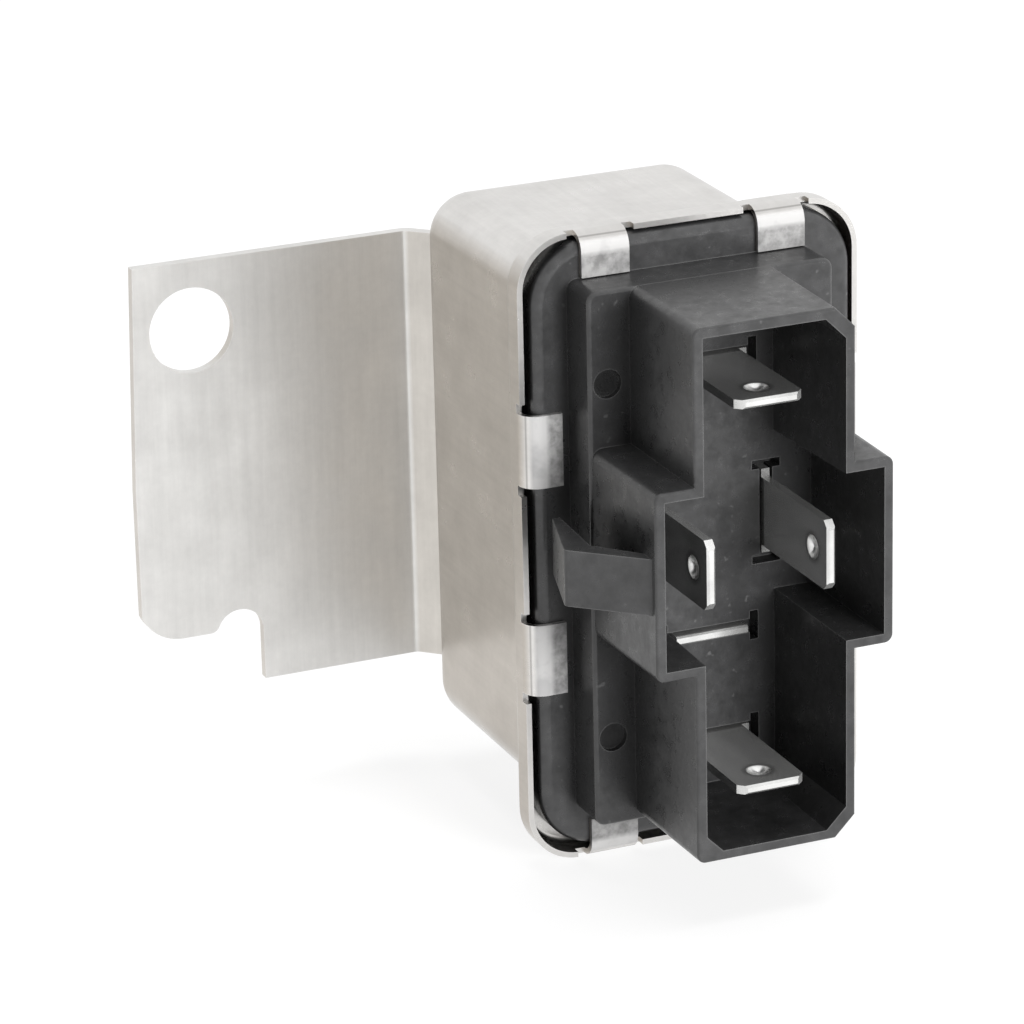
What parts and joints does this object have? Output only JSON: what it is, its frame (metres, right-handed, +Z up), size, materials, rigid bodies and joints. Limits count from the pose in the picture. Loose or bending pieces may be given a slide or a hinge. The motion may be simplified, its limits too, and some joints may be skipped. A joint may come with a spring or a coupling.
{
  "type": "automotive relay",
  "caption": "Metal-can automotive relay with a crimped black header, cross-shaped blade socket, lock lug and a welded sheet fixing flange; hinged armature inside.",
  "frame": {"origin": "centre of the fixing hole, on the flange's rear face that goes against the panel", "axes": "+Z up along the can's long side, -Y out of the plug socket, +X from the flange towards the can"},
  "size_m": [0.0572, 0.0493, 0.058],
  "materials": {
    "can_steel": "satin tin-plated drawn steel",
    "flange_steel": "satin rolled steel sheet",
    "header_plastic": "moulded black phenolic, fine grain",
    "gasket_rubber": "matt",
    "terminal_tin": "bright tin plate",
    "magnet_iron": "zinc-plated soft iron",
    "bobbin_nylon": "natural nylon",
    "winding_copper": "enamelled copper wire",
    "rivet_brass": "plain",
    "leaf_bronze": "spring bronze",
    "contact_silver": "silver alloy",
    "stop_steel": "zinc-plated strip",
    "spring_steel": "drawn spring wire"
  },
  "bodies": {
    "relay": {"can": "can_steel", "mounting_flange": "flange_steel", "header": "header_plastic", "gasket": "gasket_rubber", "output_terminal": "terminal_tin", "supply_terminal": "terminal_tin", "coil_terminal_left": "terminal_tin", "coil_terminal_right": "terminal_tin", "spare_terminal": "terminal_tin", "yoke": "magnet_iron", "core": "magnet_iron", "bobbin": "bobbin_nylon", "winding": "winding_copper", "coil_lead_left": "winding_copper", "coil_lead_right": "winding_copper", "rivets": "rivet_brass", "fixed_contact": "contact_silver", "armature_stop": "stop_steel", "return_spring": "spring_steel"},
    "armature_set": {"armature": "magnet_iron", "contact_leaf": "leaf_bronze", "leaf_rivets": "rivet_brass", "residual_pin": "rivet_brass", "moving_contact": "contact_silver"}
  },
  "joints": [
    {"name": "armature_hinge", "type": "hinge", "parent": "relay", "child": "armature_set", "pos_m": [0.0348, -0.0098, -0.03535], "axis": [1, 0, 0], "range_deg": [0, 3], "stiffness_Nm_per_rad": 0.01, "springref_deg": -8.59}
  ]
}
